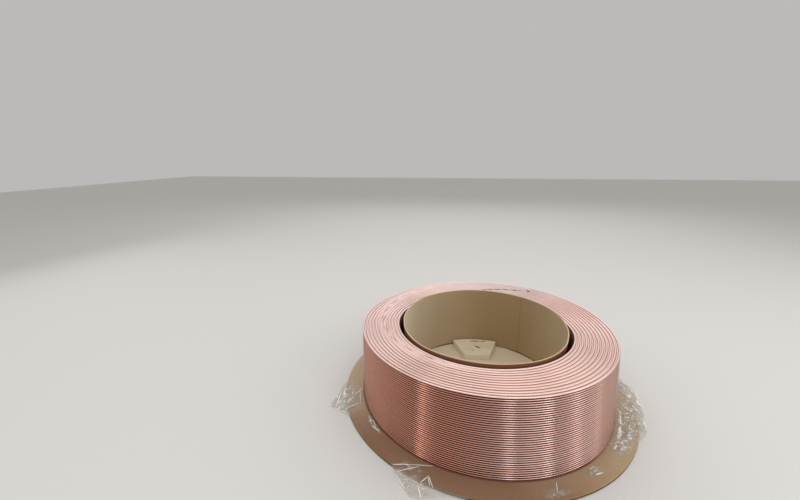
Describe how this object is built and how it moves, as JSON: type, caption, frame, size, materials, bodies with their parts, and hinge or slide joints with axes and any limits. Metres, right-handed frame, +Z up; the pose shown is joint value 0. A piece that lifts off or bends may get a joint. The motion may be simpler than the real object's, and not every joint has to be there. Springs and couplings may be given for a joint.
{
  "type": "copper tube coil",
  "caption": "Level-wound coil of small copper tube standing on end around a paperboard sleeve, on a round fibreboard base with a clear film between.",
  "frame": {"origin": "on the floor, under the middle of the base board", "axes": "+Z up along the winding's axis; -Y is the side that the picture is taken from"},
  "size_m": [1.0906, 1.0906, 0.2732],
  "materials": {
    "copper_tube": "clean drawn copper, satin",
    "paperboard": "uncoated tan paperboard",
    "fibreboard": "brown hardboard, matt",
    "clear_film": "clear crinkled film",
    "pale_wood": "bare pale board"
  },
  "bodies": {
    "root": {"tube_coil": "copper_tube", "core_sleeve": "paperboard", "base_board": "fibreboard", "film_sheet": "clear_film", "locating_block": "pale_wood"}
  },
  "joints": []
}
